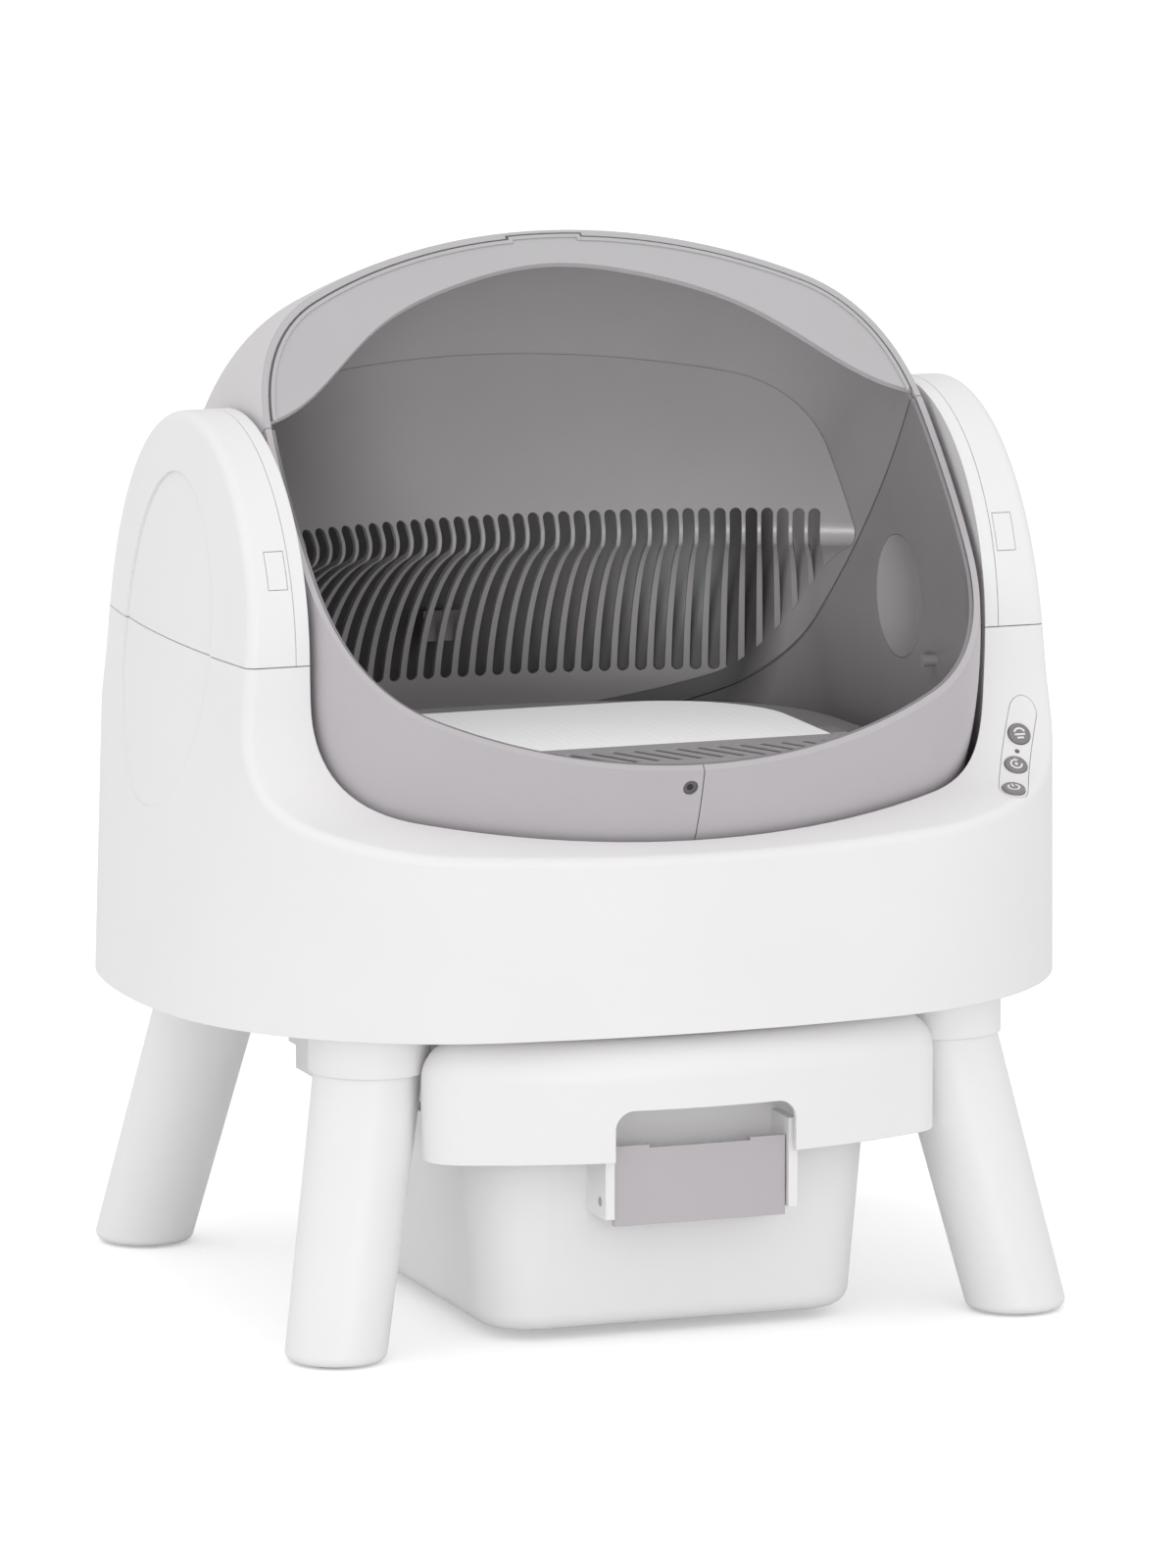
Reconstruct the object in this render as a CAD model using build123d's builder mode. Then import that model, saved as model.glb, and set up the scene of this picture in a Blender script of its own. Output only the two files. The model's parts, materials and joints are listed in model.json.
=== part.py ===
from build123d import *
from math import atan2, cos, degrees, hypot, pi, radians, sin, sqrt
import os

# Self-cleaning litter box: an open drum on two trunnions between the towers of a white housing,
# four splayed legs below, and a waste drawer under the drum. Millimetres, +Z up, the front is -Y,
# and the origin is on the floor under the middle of the housing.

os.makedirs("parts", exist_ok=True)

# Clearances and overruns
fit_gap = 0.3
seam_gap = 0.6
running_gap = 0.05
overrun = 6.0

# Housing: plan at the lower edge and at the top of the towers, and the side profile
base_half_width = 298.0
base_half_depth = 241.0
base_corner_radius = 195.0
top_half_width = 255.0
top_half_depth = 240.0
top_corner_radius = 20.0
side_turn_angle = 9.0
front_turn_angle = 9.0
base_bottom_z = 199.0
tower_half_depth = 140.0
rim_bend_radius = 72.0
rim_bend_drop = 25.0
rim_slope_angle = 22.0
housing_edge_radius = 6.5
housing_wall = 4.0
recess_depth = 1.6
recess_half_height = 104.0
recess_half_width = 84.0
recess_center_z = 422.0
cheek_depth = 8.5
well_wall = 3.0
pan_thickness = 4.0
catch_width = 12.0
catch_height = 22.0
catch_x = 239.5
catch_reach = 32.0
catch_rise = 58.0

# Drum: a barrel of revolution about the pivot, cut by a tilted rim plane
drum_radius = 243.0
drum_bottom_z = 180.0
drum_half_width = 227.0
drum_crown_radius = 390.0
drum_flank_radius = 1066.0
drum_corner_radius = 95.0
drum_gap = 4.5
drum_wall = 4.0
liner_wall = 2.5
rim_tilt_angle = 45.4
rim_height = 123.6
rim_step = 1.6
dome_seam_offset = 66.0
hub_radius = 39.0
hub_flange_radius = 52.0
hub_dish_depth = 8.0
hub_flange_rise = 3.0
shaft_radius = 14.0
shaft_overhang = 4.0
bush_wall = 4.0
bush_length = 14.0
boss_wall = 6.0
peg_radius = 4.0
peg_length = 10.0
peg_y = -67.0
peg_drop = 31.0

# Visor: inner edge from the middle outwards, as (across, up the rim plane from its centre)
visor_thickness = 4.0
visor_edge_x = (60.0, 121.0, 160.0, 187.0, 212.0)
visor_edge_s = (172.0, 143.0, 108.0, 84.0, 71.0)
visor_crest_s = 183.0
visor_tab_width = 50.0
visor_tab_reach = 2.0

# Rear sieve: a nose that overhangs the floor, slotted underneath and swept about a vertical axis
sieve_wall = 3.0
sieve_axis_y = -321.0
sieve_nose_y = 130.0
sieve_nose_z = 459.0
sieve_ramp_angle = 239.5
sieve_ramp_length = 140.0
sieve_nose_radius = 10.0
sieve_nose_turn_angle = 99.0
sieve_throat_radius = 124.0
sieve_throat_turn_angle = 60.0
sieve_foot_length = 40.0
slot_width = 7.6
slot_pitch_angle = 1.28
slot_count = 41
slot_bottom_z = 351.0
slot_top_z = 468.0
latch_width = 24.0
latch_height = 20.0
latch_depth = 8.0
latch_x = -16.0
latch_z = 386.0

# Floor of the drum and the slotted front step
floor_z = 335.0
mat_thickness = 4.0
tray_thickness = 7.0
mat_half_width = 178.0
mat_rear_y = 172.0
mat_corner_radius = 80.0
clip_length = 26.0
clip_width = 10.0
clip_height = 5.0
clip_y = 22.0
step_z = 357.0
step_wall = 3.0
step_rear_y = -112.0
step_slot_width = 6.0
step_slot_length = 44.0
step_slot_pitch = 14.0
step_slot_count = 21
step_slot_angle = 24.0
step_slot_y = -150.0
screw_radius = 4.5
screw_length = 5.4
screw_x = -8.0
screw_drop = 73.0
screw_sink = 1.2

# Drive: spur gear on the right trunnion, pinion below it on a gear motor
gear_module = 2.0
gear_teeth = 42
pinion_teeth = 14
gear_width = 8.0
gear_side_gap = 0.8
gear_backlash = 0.25
tooth_height_share = 0.8
tooth_root_share = 1.15
tooth_root_width_share = 0.58
tooth_tip_width_share = 0.24
pinion_shaft_radius = 4.0
motor_cheek = 4.0
motor_width = 26.0
motor_depth = 44.0
motor_drop = 76.0
motor_height = 54.0
motor_can_radius = 11.0
motor_can_length = 52.0
motor_cheek_radius = 11.0
motor_post_radius = 4.0
motor_post_length = 24.0
motor_post_pitch = 30.0

# Controls on the right-hand bend of the rim
button_radius = 7.2
button_proud = 1.4
button_depth = 2.4
button_edge_radius = 0.8
button_gap = 0.35
button_angles = (-35.0, -53.5, -72.5)
button_x = (240.0, 231.5, 221.5)
panel_thickness = 1.2
panel_width = 18.0
panel_top_margin = 14.0
led_radius = 1.3
led_angle = -44.5
led_length = 5.0
board_thickness = 1.6
board_width = 26.0
board_length = 48.0
inlet_radius = 6.0
inlet_bore_radius = 2.8
inlet_length = 16.0
inlet_bore_depth = 9.0
inlet_x = 120.0
inlet_z = 226.0

# Legs, sockets and pads
foot_x = 225.0
foot_y = 192.0
leg_top_x = 187.0
leg_top_y = 150.0
leg_top_z = 187.0
leg_foot_radius = 31.5
leg_top_radius = 34.0
leg_wall = 3.0
leg_floor = 6.0
leg_foot_z = 1.5
leg_foot_fillet = 5.0
socket_radius = 38.0
socket_height = 26.0
pad_radius = 20.0
pad_thickness = 4.5

# Waste drawer: tub, collar with a bowed front, feet, rails and latch flap
bin_bottom_z = 7.0
bin_top_z = 172.0
bin_half_width = 122.0
bin_front_y = -190.0
bin_rear_y = 102.0
bin_corner_radius = 34.0
bin_draft_angle = -5.0
bin_edge_radius = 12.0
bin_wall = 3.0
bin_flange_half_width = 140.0
bin_flange_front_y = -216.0
bin_flange_thickness = 3.0
bin_foot_radius = 6.0
bin_foot_inset = 52.0
collar_half_width = 167.0
collar_top_z = 195.0
collar_bottom_z = 121.0
collar_front_y = -243.0
collar_shoulder_y = -206.0
fascia_rear_y = -186.0
collar_corner_radius = 26.0
collar_top_radius = 24.0
collar_wall = 4.0
carrier_half_width = 146.0
carrier_front_y = -192.0
carrier_rear_y = 117.0
carrier_top_radius = 12.0
ledge_thickness = 4.0
mouth_half_width = 130.0
mouth_front_y = -140.0
ledge_front_y = -198.0
cutout_width = 118.0
cutout_top_z = 153.0
cutout_corner_radius = 12.0
groove_depth = 7.0
groove_height = 6.0
groove_rib = 4.0
groove_z = 141.0
rail_clearance = 0.5
rail_length = 236.0
rail_web = 4.0
rail_lip = 5.0
flap_width = 112.0
flap_bottom_z = 79.0
flap_top_z = 129.0
flap_thickness = 4.0
flap_notch_width = 66.0
flap_notch_depth = 2.0
flap_barrel_radius = 6.0
flap_offset = 4.5
flap_side_gap = 1.0
pin_radius = 3.0
pin_y = -221.0
pin_z = 94.0
ear_thickness = 6.0
ear_radius = 10.0
ear_top_z = 140.0

# Derived places
pivot_z = drum_bottom_z + drum_radius
tower_top_z = pivot_z + tower_half_depth
rim_bend_z = pivot_z - rim_bend_drop
catch_z = pivot_z + catch_rise
motor_top_z = pivot_z - motor_drop
liner_outside = drum_wall + fit_gap
liner_inside = liner_outside + liner_wall
content_inset = liner_inside + fit_gap
well_outside = drum_gap + well_wall
cheek_outside = drum_gap + cheek_depth
bend_center_y = -tower_half_depth - rim_bend_radius
pivot_plane = Plane(origin=(0, 0, pivot_z), x_dir=(0, 1, 0), z_dir=(1, 0, 0))
drum_section_plane = Plane(origin=(0, 0, pivot_z), x_dir=(1, 0, 0), z_dir=(0, -1, 0))
seam_plane = Plane.XY.offset(pivot_z)
rim_normal = Vector(0, -sin(radians(rim_tilt_angle)), cos(radians(rim_tilt_angle)))
rim_up = Vector(0, cos(radians(rim_tilt_angle)), sin(radians(rim_tilt_angle)))
pivot_point = Vector(0, 0, pivot_z)
rim_plane = Plane(origin=pivot_point + rim_normal * rim_height, x_dir=(1, 0, 0), z_dir=rim_normal)
dome_plane = Plane(origin=pivot_point + rim_up * dome_seam_offset, x_dir=(1, 0, 0), z_dir=rim_up)
tray_top_z = floor_z - mat_thickness
catch_y = -sqrt(tower_half_depth**2 - catch_rise**2)
bush_radius = shaft_radius + running_gap + bush_wall
boss_radius = bush_radius + boss_wall
bush_start_x = drum_half_width + drum_gap
inlet_plane = Plane(origin=(inlet_x, 0, inlet_z), x_dir=(1, 0, 0), z_dir=(0, -1, 0))
inlet_inner_plane = inlet_plane.offset(inlet_length + housing_wall - base_half_depth)


def plan_outline(sketch, half_width, half_depth, corner):
    """A bowed rectangle with round corners, from four large circles.

    The circles are as large as it takes for each side to turn by its own angle before a corner starts,
    so that plans of different sizes are joined by smooth walls.
    """
    side_sine, side_cosine = sin(radians(side_turn_angle)), cos(radians(side_turn_angle))
    front_sine, front_cosine = sin(radians(front_turn_angle)), cos(radians(front_turn_angle))
    across = half_width - corner * (side_cosine - front_sine)
    along = half_depth - corner * (front_cosine - side_sine)
    scale = side_sine * front_sine - (1 - side_cosine) * (1 - front_cosine)
    side_bow = (along * front_sine - across * (1 - front_cosine)) / scale
    front_bow = (across * side_sine - along * (1 - side_cosine)) / scale
    with Locations((0, front_bow - half_depth)):
        Circle(front_bow)
    with Locations((0, half_depth - front_bow)):
        Circle(front_bow, mode=Mode.INTERSECT)
    with Locations((side_bow - half_width, 0)):
        Circle(side_bow, mode=Mode.INTERSECT)
    with Locations(Location((half_width - side_bow, 0, 0), (0, 0, 180))):
        Circle(side_bow, mode=Mode.INTERSECT)
    fillet(sketch.vertices(), corner)


def housing_blank(inset, edge_radius=0):
    """The whole white body as one solid, drawn in by inset on every outer face.

    From the side it has a low sloping rim, a concave bend, a tower and a round arch.
    """
    tower = tower_half_depth - inset
    bend = rim_bend_radius + inset
    slope_direction = (cos(radians(rim_slope_angle)), sin(radians(rim_slope_angle)))
    foot = (bend_center_y + bend * slope_direction[1], rim_bend_z - bend * slope_direction[0])
    far = (foot[0] - base_half_depth * slope_direction[0], foot[1] - base_half_depth * slope_direction[1])
    with BuildPart() as blank:
        with BuildSketch(Plane.XY.offset(base_bottom_z)) as lower:
            corner = base_corner_radius - inset
            plan_outline(lower, base_half_width - inset, base_half_depth - inset, corner)
        with BuildSketch(Plane.XY.offset(tower_top_z + overrun)) as upper:
            corner = top_corner_radius - inset
            plan_outline(upper, top_half_width - inset, top_half_depth - inset, corner)
        loft(ruled=True)
        with BuildSketch(Plane.YZ):
            with BuildLine():
                Line(far, foot)
                JernArc(start=foot, tangent=slope_direction, radius=bend, arc_size=90 - rim_slope_angle)
                Line((-tower, rim_bend_z), (-tower, pivot_z))
                JernArc(start=(-tower, pivot_z), tangent=(0, 1), radius=tower, arc_size=-90)
                Line((0, pivot_z + tower), (0, 0))
                Line((0, 0), (far[0], 0))
                Line((far[0], 0), far)
            make_face()
            mirror(about=Plane.YZ)
        extrude(amount=base_half_width, both=True, mode=Mode.INTERSECT)
        if edge_radius:
            rims = blank.edges().filter_by(Axis.X, reverse=True)
            rims = rims.filter_by(lambda edge: edge.bounding_box().min.Z > base_bottom_z + overrun)
            fillet(rims, edge_radius)
    return blank.part


def drum_blank(inset):
    """The barrel as a solid of revolution, drawn in by inset, or grown where inset is negative."""
    with BuildPart() as blank:
        with BuildSketch(drum_section_plane) as half:
            with Locations((0, drum_radius - drum_crown_radius)):
                Circle(drum_crown_radius - inset)
            with Locations((drum_half_width - drum_flank_radius, 0)):
                Circle(drum_flank_radius - inset, mode=Mode.INTERSECT)
            with Locations((drum_flank_radius - drum_half_width, 0)):
                Circle(drum_flank_radius - inset, mode=Mode.INTERSECT)
            with Locations((0, drum_radius)):
                Rectangle(2 * drum_crown_radius, 2 * drum_radius, mode=Mode.INTERSECT)
            fillet(half.vertices().sort_by(Axis.Y)[-2:], drum_corner_radius - inset)
        revolve(axis=Axis((0, 0, pivot_z), (1, 0, 0)))
    return blank.part


def bend_plane(x, angle, distance):
    """A plane square to the concave bend of the rim, at a distance from the bend's centre, facing out."""
    direction = Vector(0, cos(radians(angle)), sin(radians(angle)))
    origin = Vector(x, bend_center_y, rim_bend_z) + direction * distance
    return Plane(origin=origin, x_dir=(1, 0, 0), z_dir=direction * -1)


# Solids that several pieces share
housing = housing_blank(0, housing_edge_radius)
housing_inside = housing_blank(housing_wall, housing_edge_radius - housing_wall)
housing_fit = housing_blank(housing_wall + fit_gap, housing_edge_radius - housing_wall - fit_gap)
drum_outside = drum_blank(0)
drum_shell_inside = drum_blank(drum_wall)
drum_content = drum_blank(content_inset)
drum_path = drum_blank(-drum_gap)
drum_well_outside = drum_blank(-well_outside)
drum_cheek_outside = drum_blank(-cheek_outside)

# Oval recess that crosses the seam on each outer side
with BuildPart() as side_recess:
    with BuildSketch(Plane.YZ):
        with Locations((0, recess_center_z)):
            Ellipse(recess_half_width, recess_half_height)
    extrude(amount=base_half_width + overrun, both=True)
    add(housing_blank(recess_depth), mode=Mode.SUBTRACT)

# Controls: places on the bend
button_names = ("button_clean", "button_level", "button_power")
button_planes = [bend_plane(x, a, rim_bend_radius) for x, a in zip(button_x, button_angles)]
led_x = (button_x[0] + button_x[1]) / 2
led_plane = bend_plane(led_x, led_angle, rim_bend_radius)
panel_plane = button_planes[1]
panel_top = panel_plane.to_local_coords(button_planes[0].origin)
panel_bottom = panel_plane.to_local_coords(button_planes[2].origin)
panel_reach = rim_bend_radius + panel_width


def panel_area(margin):
    """A long slot round the three buttons, as a prism through the bend."""
    start = Vector(panel_bottom.X, panel_bottom.Y)
    run = Vector(panel_top.X, panel_top.Y) - start
    length = run.length + panel_top_margin
    middle = start + run.normalized() * (length / 2)
    with BuildPart() as area:
        with BuildSketch(panel_plane):
            with Locations(middle):
                SlotCenterToCenter(length, panel_width + 2 * margin, rotation=degrees(atan2(run.Y, run.X)))
        extrude(amount=panel_reach, both=True)
    return area.part


def catch_areas(margin):
    """Blocks through the tower fronts where the snap catches sit."""
    with BuildPart() as areas:
        with Locations((-catch_x, catch_y, catch_z), (catch_x, catch_y, catch_z)):
            Box(catch_width + 2 * margin, catch_reach, catch_height + 2 * margin)
    return areas.part


def side_plane(sign):
    """A plane square to the pivot axis, facing out on the right (1) or left (-1)."""
    return Plane(origin=pivot_point, x_dir=(0, 1, 0), z_dir=(sign, 0, 0))


def flank_x(inset, radius):
    """How far out the drum's flank lies at a radius from the pivot axis."""
    return drum_half_width - drum_flank_radius + sqrt((drum_flank_radius - inset) ** 2 - radius**2)


sides = (("left", -1), ("right", 1))
keeps = {"left": Keep.BOTTOM, "right": Keep.TOP}

# Base shell: outer wall, rim and tower fronts below the cap seam
pocket_depth = panel_thickness + fit_gap
with BuildPart() as panel_pocket:
    add(panel_area(fit_gap))
    add(housing_blank(pocket_depth, housing_edge_radius - pocket_depth), mode=Mode.SUBTRACT)
with BuildPart() as base_shell:
    add(housing)
    add(housing_inside, mode=Mode.SUBTRACT)
    add(drum_path, mode=Mode.SUBTRACT)
    add(side_recess.part, mode=Mode.SUBTRACT)
    split(bisect_by=seam_plane, keep=Keep.BOTTOM)
    add(panel_pocket.part, mode=Mode.SUBTRACT)
    for plane in button_planes:
        with BuildSketch(plane):
            Circle(button_radius + button_gap)
        extrude(amount=2 * housing_wall, both=True, mode=Mode.SUBTRACT)
    with BuildSketch(led_plane):
        Circle(led_radius + fit_gap)
    extrude(amount=2 * housing_wall, both=True, mode=Mode.SUBTRACT)
    with BuildSketch(inlet_plane):
        Circle(inlet_radius + fit_gap)
    extrude(amount=-base_half_depth, mode=Mode.SUBTRACT)
base_shell.part.label = "base_shell"
export_step(base_shell.part, "parts/base_shell.step")

# Drum well: the dished inner wall, with the lower halves of the pivot bosses
with BuildPart() as drum_well:
    add(drum_well_outside)
    add(drum_path, mode=Mode.SUBTRACT)
    add(housing_fit, mode=Mode.INTERSECT)
    for name, sign in sides:
        with BuildSketch(side_plane(sign).offset(bush_start_x)):
            Circle(boss_radius)
        extrude(amount=bush_length)
    split(bisect_by=seam_plane, keep=Keep.BOTTOM)
    with BuildSketch(pivot_plane):
        Circle(bush_radius + fit_gap)
    extrude(amount=base_half_width, both=True, mode=Mode.SUBTRACT)
drum_well.part.label = "drum_well"
export_step(drum_well.part, "parts/drum_well.step")

# Base pan: bottom plate with the waste port
with BuildPart() as base_pan:
    add(housing_fit)
    split(bisect_by=Plane.XY.offset(base_bottom_z + pan_thickness), keep=Keep.BOTTOM)
    add(drum_blank(-well_outside - fit_gap), mode=Mode.SUBTRACT)
base_pan.part.label = "base_pan"
export_step(base_pan.part, "parts/base_pan.step")

# Tower cheeks: inner skins of the caps, with the upper halves of the pivot bosses
with BuildPart() as cap_hollow:
    add(housing_inside)
    add(drum_well_outside, mode=Mode.SUBTRACT)
with BuildPart() as cheeks:
    add(housing)
    add(drum_cheek_outside, mode=Mode.INTERSECT)
    add(drum_path, mode=Mode.SUBTRACT)
    add(cap_hollow.part, mode=Mode.SUBTRACT)
    for name, sign in sides:
        with BuildSketch(side_plane(sign).offset(bush_start_x)):
            Circle(boss_radius)
        extrude(amount=bush_length)
    split(bisect_by=seam_plane.offset(seam_gap), keep=Keep.TOP)
    with BuildSketch(pivot_plane):
        Circle(bush_radius + fit_gap)
    extrude(amount=base_half_width, both=True, mode=Mode.SUBTRACT)

# Tower caps: outer shells above the seam
with BuildPart() as caps:
    add(housing)
    add(housing_inside, mode=Mode.SUBTRACT)
    add(drum_blank(-cheek_outside - fit_gap), mode=Mode.SUBTRACT)
    add(side_recess.part, mode=Mode.SUBTRACT)
    split(bisect_by=seam_plane.offset(seam_gap), keep=Keep.TOP)
    add(catch_areas(fit_gap), mode=Mode.SUBTRACT)
for name, sign in sides:
    with BuildPart() as tower_inner:
        add(cheeks.part)
        split(bisect_by=Plane.YZ, keep=keeps[name])
    tower_inner.part.label = f"tower_inner_{name}"
    export_step(tower_inner.part, f"parts/tower_inner_{name}.step")
    with BuildPart() as tower_cap:
        add(caps.part)
        split(bisect_by=Plane.YZ, keep=keeps[name])
    tower_cap.part.label = f"tower_cap_{name}"
    export_step(tower_cap.part, f"parts/tower_cap_{name}.step")

# Snap catches, flush in the tower fronts
with BuildPart() as cap_catches:
    add(housing)
    add(housing_inside, mode=Mode.SUBTRACT)
    add(catch_areas(0), mode=Mode.INTERSECT)
cap_catches.part.label = "cap_catches"
export_step(cap_catches.part, "parts/cap_catches.step")

# Pivot bushes, clamped between well and cheek
for name, sign in sides:
    with BuildPart() as bush:
        with BuildSketch(side_plane(sign).offset(bush_start_x)):
            Circle(bush_radius)
            Circle(shaft_radius + running_gap, mode=Mode.SUBTRACT)
        extrude(amount=bush_length)
    bush.part.label = f"pivot_bush_{name}"
    export_step(bush.part, f"parts/pivot_bush_{name}.step")

# Control panel, board and indicator
with BuildPart() as control_panel:
    add(housing)
    add(housing_blank(panel_thickness, housing_edge_radius - panel_thickness), mode=Mode.SUBTRACT)
    add(panel_area(0), mode=Mode.INTERSECT)
    for plane in button_planes:
        with BuildSketch(plane):
            Circle(button_radius + button_gap)
        extrude(amount=2 * housing_wall, both=True, mode=Mode.SUBTRACT)
    with BuildSketch(led_plane):
        Circle(led_radius + fit_gap)
    extrude(amount=2 * housing_wall, both=True, mode=Mode.SUBTRACT)
control_panel.part.label = "control_panel"
export_step(control_panel.part, "parts/control_panel.step")

board_distance = rim_bend_radius + housing_wall + fit_gap
with BuildPart() as control_board:
    with BuildSketch(bend_plane(button_x[1], button_angles[1], board_distance)):
        Rectangle(board_width, board_length)
    extrude(amount=-board_thickness)
    add(housing_fit, mode=Mode.INTERSECT)
control_board.part.label = "control_board"
export_step(control_board.part, "parts/control_board.step")

with BuildPart() as led_lens:
    with BuildSketch(led_plane):
        Circle(led_radius)
    extrude(amount=-led_length)
led_lens.part.label = "led_lens"
export_step(led_lens.part, "parts/led_lens.step")

for name, plane in zip(button_names, button_planes):
    with BuildPart() as button:
        with BuildSketch(plane.offset(button_proud)):
            Circle(button_radius)
        extrude(amount=-button_proud - button_depth)
        fillet(button.faces().sort_by(Axis(plane.origin, plane.z_dir))[-1].edges(), button_edge_radius)
    button.part.label = name
    export_step(button.part, f"parts/{name}.step")

# Power inlet in the rear wall
with BuildPart() as power_inlet:
    with BuildSketch(inlet_plane):
        Circle(inlet_radius)
    extrude(amount=-base_half_depth)
    add(housing, mode=Mode.INTERSECT)
    split(bisect_by=inlet_inner_plane, keep=Keep.BOTTOM)
    with BuildSketch(inlet_inner_plane.offset(inlet_bore_depth - inlet_length)):
        Circle(inlet_bore_radius)
    extrude(amount=-inlet_length, mode=Mode.SUBTRACT)
power_inlet.part.label = "power_inlet"
export_step(power_inlet.part, "parts/power_inlet.step")

# Drum shells: two bowl halves and the dome, with holes for the hubs and the front screw
screw_direction = Vector(0, -sqrt(drum_radius**2 - screw_drop**2), -screw_drop).normalized()
screw_origin = pivot_point + Vector(screw_x, 0, 0) + screw_direction * (drum_radius - screw_sink)
screw_plane = Plane(origin=screw_origin, x_dir=(1, 0, 0), z_dir=screw_direction)


def drum_skin(outside, inside):
    """A skin of the barrel between two blanks, with the hub holes and the screw hole."""
    with BuildPart() as skin:
        add(outside)
        add(inside, mode=Mode.SUBTRACT)
        with BuildSketch(pivot_plane):
            Circle(hub_radius + fit_gap)
        extrude(amount=base_half_width, both=True, mode=Mode.SUBTRACT)
        with BuildSketch(screw_plane):
            Circle(screw_radius + fit_gap)
        extrude(amount=2 * screw_length, both=True, mode=Mode.SUBTRACT)
    return skin.part


def visor_tab(inset, margin):
    """The block at the top of the rim where the visor hooks under the dome."""
    with BuildPart() as tab:
        with BuildSketch(rim_plane):
            with Locations((0, drum_radius)):
                Rectangle(visor_tab_width + 2 * margin, 2 * (drum_radius - visor_crest_s))
        extrude(amount=-visor_thickness - margin)
        add(drum_blank(inset), mode=Mode.INTERSECT)
    return tab.part


outer_skin = drum_skin(drum_outside, drum_shell_inside)
for name, sign in sides:
    with BuildPart() as bowl:
        add(outer_skin)
        split(bisect_by=rim_plane, keep=Keep.BOTTOM)
        split(bisect_by=dome_plane.offset(-seam_gap), keep=Keep.BOTTOM)
        split(bisect_by=Plane.YZ.offset(sign * seam_gap / 2), keep=keeps[name])
    bowl.part.label = f"bowl_{name}"
    export_step(bowl.part, f"parts/bowl_{name}.step")

with BuildPart() as dome:
    add(outer_skin)
    split(bisect_by=rim_plane, keep=Keep.BOTTOM)
    split(bisect_by=dome_plane, keep=Keep.TOP)
    add(visor_tab(drum_wall - visor_tab_reach, fit_gap), mode=Mode.SUBTRACT)
dome.part.label = "dome"
export_step(dome.part, "parts/dome.step")

# Liners inside the shells; two pegs stand on the bowl liner's flanks
inner_skin = drum_skin(drum_blank(liner_outside), drum_blank(liner_inside))
peg_seat_x = flank_x(liner_inside, hypot(peg_y, peg_drop)) + liner_wall / 2
with BuildPart() as bowl_liner:
    add(inner_skin)
    split(bisect_by=rim_plane.offset(-rim_step), keep=Keep.BOTTOM)
    split(bisect_by=dome_plane.offset(-seam_gap), keep=Keep.BOTTOM)
    for name, sign in sides:
        with BuildSketch(side_plane(sign).offset(peg_seat_x)):
            with Locations((peg_y, -sign * peg_drop)):
                Circle(peg_radius)
        extrude(amount=-peg_length)
bowl_liner.part.label = "bowl_liner"
export_step(bowl_liner.part, "parts/bowl_liner.step")

with BuildPart() as dome_liner:
    add(inner_skin)
    split(bisect_by=rim_plane.offset(-visor_thickness - fit_gap), keep=Keep.BOTTOM)
    split(bisect_by=dome_plane, keep=Keep.TOP)
dome_liner.part.label = "dome_liner"
export_step(dome_liner.part, "parts/dome_liner.step")

# Visor: a crescent plate that narrows the opening at the top
visor_right = [(x, s) for x, s in zip(visor_edge_x, visor_edge_s)]
visor_left = [(-x, s) for x, s in reversed(visor_right)]
visor_far_x = drum_half_width + overrun
visor_end_s = visor_edge_s[-1]
with BuildPart() as visor:
    with BuildSketch(rim_plane):
        with BuildLine():
            Spline(*visor_left, (0, visor_crest_s), *visor_right)
            Polyline(
                visor_right[-1],
                (visor_far_x, visor_end_s),
                (visor_far_x, drum_radius),
                (-visor_far_x, drum_radius),
                (-visor_far_x, visor_end_s),
                visor_left[0],
            )
        make_face()
    extrude(amount=-visor_thickness)
    add(drum_blank(liner_outside), mode=Mode.INTERSECT)
    add(visor_tab(liner_outside - visor_tab_reach, 0))
visor.part.label = "visor"
export_step(visor.part, "parts/visor.step")

# Rear sieve: ramp, round nose, hollow throat and foot, swept about a vertical axis and slotted
ramp_heading = Vector(cos(radians(sieve_ramp_angle)), sin(radians(sieve_ramp_angle)))
nose_start = Vector(sieve_nose_y, sieve_nose_z)
slot_arc = slot_pitch_angle * (slot_count - 1)
slot_reach = sieve_throat_radius + 2 * sieve_nose_radius
slot_center_radius = sieve_nose_y - sieve_axis_y + sieve_throat_radius / 2
slot_planes = []
for slot in range(slot_count):
    turn = radians(slot_pitch_angle * slot - slot_arc / 2)
    radial = Vector(sin(turn), cos(turn))
    middle = Vector(0, sieve_axis_y, (slot_bottom_z + slot_top_z) / 2) + radial * slot_center_radius
    slot_planes.append(Plane(origin=middle, x_dir=(cos(turn), -sin(turn), 0), z_dir=-radial))
with BuildPart() as rear_sieve:
    with BuildSketch(Plane.YZ):
        with BuildLine():
            Line(nose_start - ramp_heading * sieve_ramp_length, nose_start)
            nose = JernArc(nose_start, ramp_heading, sieve_nose_radius, sieve_nose_turn_angle)
            throat = JernArc(nose @ 1, nose % 1, sieve_throat_radius, -sieve_throat_turn_angle)
            Line(throat @ 1, throat @ 1 + (throat % 1) * sieve_foot_length)
        trace(line_width=sieve_wall)
    revolve(axis=Axis((0, sieve_axis_y, 0), (0, 0, 1)))
    add(drum_content, mode=Mode.INTERSECT)
    split(bisect_by=Plane.XY.offset(tray_top_z), keep=Keep.TOP)
    with BuildSketch(*slot_planes):
        SlotOverall(slot_top_z - slot_bottom_z, slot_width, rotation=90)
    extrude(amount=slot_reach / 2, both=True, mode=Mode.SUBTRACT)
rear_sieve.part.label = "rear_sieve"
export_step(rear_sieve.part, "parts/rear_sieve.step")

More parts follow.
